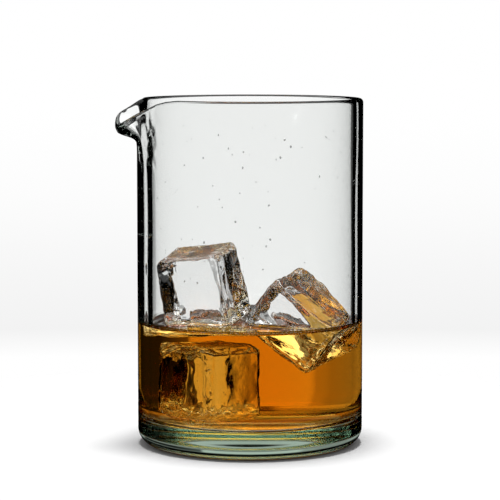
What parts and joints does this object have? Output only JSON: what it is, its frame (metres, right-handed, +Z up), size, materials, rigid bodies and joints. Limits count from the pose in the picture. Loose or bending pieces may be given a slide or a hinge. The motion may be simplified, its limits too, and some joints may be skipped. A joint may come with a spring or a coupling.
{
  "type": "mixing glass",
  "caption": "Straight-sided hand-blown glass beaker with a heavy base and a pulled pouring lip, holding a drink and ice cubes for stirring cocktails.",
  "frame": {"origin": "centre of the foot ring, on the surface that the glass stands on", "axes": "+Z up out of the mouth, the pouring lip points to -X, +Y to the left of someone looking along -X past the lip"},
  "size_m": [0.105, 0.095, 0.146],
  "materials": {
    "glass": "clear recycled soda glass with a faint grey-green tint, fire polished, with a few small seeds",
    "drink": "clear amber spirit",
    "ice": "clear wet ice with softened edges"
  },
  "bodies": {
    "vessel": {"glass_vessel": "glass", "drink": "drink"},
    "lower_cube": {"ice_cube_lower": "ice"},
    "upper_cube": {"ice_cube_upper": "ice"},
    "side_cube": {"ice_cube_side": "ice"}
  },
  "joints": [
    {"name": "lower_cube_lift", "type": "slide", "parent": "vessel", "child": "lower_cube", "axis": [0, 0, 1], "range_m": [0, 0.145], "deforming": ["drink"]},
    {"name": "upper_cube_lift", "type": "slide", "parent": "lower_cube", "child": "upper_cube", "axis": [0, 0, 1], "range_m": [0, 0.11], "deforming": ["drink"]},
    {"name": "side_cube_lift", "type": "slide", "parent": "lower_cube", "child": "side_cube", "axis": [0, 0, 1], "range_m": [0, 0.125], "deforming": ["drink"]}
  ]
}
